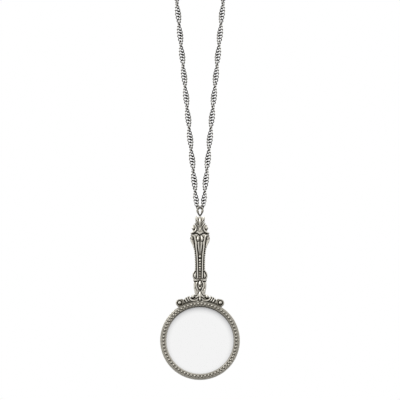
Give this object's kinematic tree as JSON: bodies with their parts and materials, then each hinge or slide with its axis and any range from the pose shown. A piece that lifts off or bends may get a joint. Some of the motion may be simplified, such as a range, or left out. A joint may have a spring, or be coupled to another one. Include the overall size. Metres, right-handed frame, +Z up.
{
  "type": "magnifier pendant necklace",
  "caption": "Long twisted-chain necklace with a hanging pendant: a round magnifying lens in a beaded rim on an ornate cast handle, in antique silver.",
  "frame": {"origin": "the nape: where the loop hangs, at the middle of the clasp's underside", "axes": "+Z up, the pendant hanging down along -Z; -Y out of the pendant's front; +X to the right as the front is seen"},
  "size_m": [0.0674, 0.0059, 0.4557],
  "materials": {
    "cast_silver": "cast zinc alloy with antique silver plate, dark in the hollows and bright on the high points",
    "wire_silver": "antique silver plated wire, softly polished",
    "lens_glass": "clear polished glass"
  },
  "bodies": {
    "necklace": {"bail_ring": "wire_silver", "chain_left": "wire_silver", "chain_right": "wire_silver", "clasp": "wire_silver", "clasp_ring_left": "wire_silver", "clasp_ring_right": "wire_silver"},
    "magnifier": {"magnifier_frame": "cast_silver", "lens": "lens_glass", "bezel_ring": "cast_silver"}
  },
  "joints": [
    {"name": "pendant_swing", "type": "hinge", "parent": "necklace", "child": "magnifier", "pos_m": [0, 0, -0.36011], "axis": [1, 0, 0], "range_deg": [-90, 90]}
  ]
}
